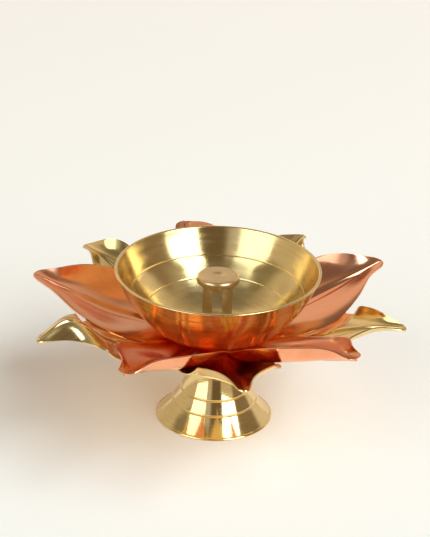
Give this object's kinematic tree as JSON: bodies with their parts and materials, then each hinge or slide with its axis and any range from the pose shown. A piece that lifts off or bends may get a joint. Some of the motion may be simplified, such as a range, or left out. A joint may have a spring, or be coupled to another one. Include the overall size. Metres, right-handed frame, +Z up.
{
  "type": "flower diya",
  "caption": "Footed oil lamp: an open bowl with a lift-out slotted wick holder over staggered copper and brass petal sheets on a flared stem.",
  "frame": {"origin": "centre of the round foot, on the surface that it stands on", "axes": "+Z up along the stem, -Y towards the viewer of the picture, +X to the viewer's right"},
  "size_m": [0.1513, 0.1537, 0.0669],
  "materials": {
    "stand_brass": "lathe turned and polished, fine turning lines",
    "bowl_brass": "lathe turned, brushed round inside, polished outside",
    "petal_brass": "polished sheet, hand bent",
    "petal_copper": "polished copper sheet, hand bent",
    "holder_brass": "satin turned",
    "fastener_steel": "plain zinc grey"
  },
  "bodies": {
    "lamp": {"base_stand": "stand_brass", "lock_washer": "fastener_steel", "lock_nut": "fastener_steel", "center_stud": "fastener_steel", "bowl": "bowl_brass"},
    "brass_layer": {"brass_petals": "petal_brass"},
    "copper_layer": {"copper_petals": "petal_copper"},
    "wick_holder": {"wick_tube": "holder_brass", "wick_cap": "holder_brass"}
  },
  "joints": [
    {"name": "wick_holder_lift", "type": "slide", "parent": "lamp", "child": "wick_holder", "axis": [0, 0, 1], "range_m": [0, 0.04]},
    {"name": "copper_layer_turn", "type": "hinge", "parent": "lamp", "child": "copper_layer", "pos_m": [0, 0, 0.0372], "axis": [0, 0, 1], "range_deg": [-1, 1]},
    {"name": "brass_layer_turn", "type": "hinge", "parent": "lamp", "child": "brass_layer", "pos_m": [0, 0, 0.0365], "axis": [0, 0, 1], "range_deg": [-1, 1]}
  ]
}
